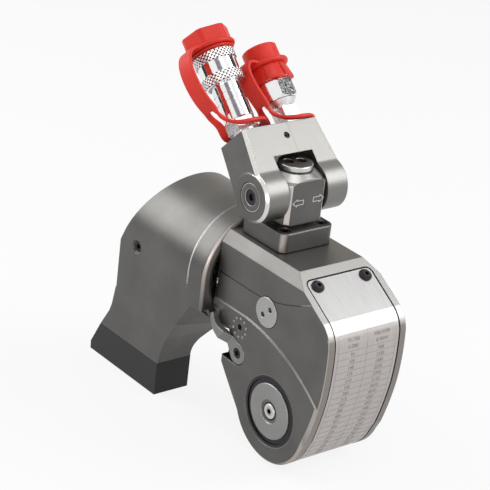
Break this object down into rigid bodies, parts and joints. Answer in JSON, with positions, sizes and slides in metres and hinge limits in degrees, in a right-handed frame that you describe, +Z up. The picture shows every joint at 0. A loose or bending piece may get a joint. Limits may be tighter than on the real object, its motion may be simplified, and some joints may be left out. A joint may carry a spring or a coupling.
{
  "type": "hydraulic torque wrench",
  "caption": "Square drive hydraulic torque wrench with a splined reaction arm, a tilting hose swivel, quick couplers with dust caps, and a working ratchet inside.",
  "frame": {"origin": "on the square drive's axis, midway between the two side faces of the head", "axes": "+X towards the front shroud, +Y along the square drive towards its free end, +Z up to the hose swivel"},
  "size_m": [0.2312, 0.105, 0.2626],
  "materials": {
    "body_coat": "satin pewter plating with a warm cast",
    "stainless_sheet": "brushed sheet",
    "black_oxide": "black oxide",
    "steel": "ground",
    "dark_steel": "dark phosphate",
    "seal_rubber": "smooth",
    "bronze": "turned",
    "black_bushing": "dull black",
    "swivel_steel": "satin grey plating",
    "pad_paint": "black phosphate",
    "chrome_plate": "bright plating",
    "red_rubber": "moulded, soft"
  },
  "bodies": {
    "tool": {"housing": "body_coat", "index_screw": "black_oxide", "front_shroud": "stainless_sheet", "shroud_screws": "black_oxide", "access_plug": "body_coat", "cylinder_end_plug": "steel", "end_plug_seal": "seal_rubber", "rod_gland": "bronze", "rod_seal": "seal_rubber", "bushing_near": "black_bushing", "bushing_far": "black_bushing", "swivel_base": "swivel_steel", "swivel_seal": "seal_rubber", "swivel_base_screws": "steel"},
    "arm": {"reaction_arm": "body_coat", "reaction_pad": "pad_paint", "arm_screw": "black_oxide"},
    "piston": {"piston": "steel", "piston_seal": "seal_rubber", "piston_rod": "chrome_plate", "rod_pin": "steel"},
    "levers": {"drive_levers": "steel", "drive_pawl_pin": "steel"},
    "drive_pawls": {"drive_pawls": "steel"},
    "drive": {"ratchet_wheel": "steel", "square_drive": "dark_steel", "drive_retainer": "steel", "detent_ball": "chrome_plate", "button_spring": "steel"},
    "button": {"release_button": "steel"},
    "release": {"reaction_pawl": "steel", "pawl_shaft": "steel", "release_lever": "swivel_steel", "lever_screw": "black_oxide"},
    "post": {"swivel_post": "swivel_steel", "post_cap": "swivel_steel"},
    "yoke": {"swivel_yoke": "swivel_steel", "pivot_tube": "steel", "pivot_plugs": "swivel_steel", "pivot_screws": "chrome_plate", "yoke_set_screw": "black_oxide", "female_adapter": "chrome_plate", "female_body": "chrome_plate", "female_poppet": "steel", "male_adapter": "chrome_plate", "male_body": "chrome_plate", "male_poppet": "steel", "female_cap_strap": "red_rubber", "male_cap_strap": "red_rubber"},
    "sleeve": {"female_sleeve": "chrome_plate"},
    "female_cap": {"female_dust_cap": "red_rubber"},
    "male_cap": {"male_dust_cap": "red_rubber"}
  },
  "joints": [
    {"name": "post_swivel", "type": "hinge", "parent": "tool", "child": "post", "pos_m": [-0.042, 0, 0.1137], "axis": [0, 0, 1], "continuous": true},
    {"name": "yoke_tilt", "type": "hinge", "parent": "post", "child": "yoke", "pos_m": [-0.042, 0, 0.1337], "axis": [0, 1, 0], "range_deg": [-44, 136]},
    {"name": "lever_swing", "type": "hinge", "parent": "tool", "child": "levers", "pos_m": [0, 0, 0], "axis": [0, 1, 0], "range_deg": [0, 30]},
    {"name": "piston_slide", "type": "slide", "parent": "tool", "child": "piston", "axis": [1, 0, 0], "range_m": [0, 0.0347]},
    {"name": "drive_spin", "type": "hinge", "parent": "tool", "child": "drive", "pos_m": [0, 0, 0], "axis": [0, 1, 0], "continuous": true},
    {"name": "button_press", "type": "slide", "parent": "drive", "child": "button", "axis": [0, 1, 0], "range_m": [0, 0.002], "stiffness_N_per_m": 600},
    {"name": "drive_pawl_drop", "type": "hinge", "parent": "levers", "child": "drive_pawls", "pos_m": [-0.02246, 0, 0.03746], "axis": [0, 1, 0], "range_deg": [0, 6.5]},
    {"name": "release_lever_turn", "type": "hinge", "parent": "tool", "child": "release", "pos_m": [-0.0386, 0, 0.0239], "axis": [0, 1, 0], "range_deg": [-8, 0], "stiffness_Nm_per_rad": 0.4},
    {"name": "arm_slide", "type": "slide", "parent": "tool", "child": "arm", "axis": [-1, 0, 0], "range_m": [0, 0.08]},
    {"name": "sleeve_spin", "type": "hinge", "parent": "yoke", "child": "sleeve", "pos_m": [-0.1053, -0.0188, 0.19483], "axis": [-0.7193, 0, 0.6947], "continuous": true},
    {"name": "female_cap_pull", "type": "slide", "parent": "yoke", "child": "female_cap", "axis": [-0.7193, 0, 0.6947], "range_m": [0, 0.016], "deforming": ["female_cap_strap"]},
    {"name": "male_cap_pull", "type": "slide", "parent": "yoke", "child": "male_cap", "axis": [-0.7193, 0, 0.6947], "range_m": [0, 0.022], "deforming": ["male_cap_strap"]}
  ],
  "couplings": [
    {"joint": "piston_slide", "follows": "lever_swing", "m_per_rad": 0.0661}
  ]
}
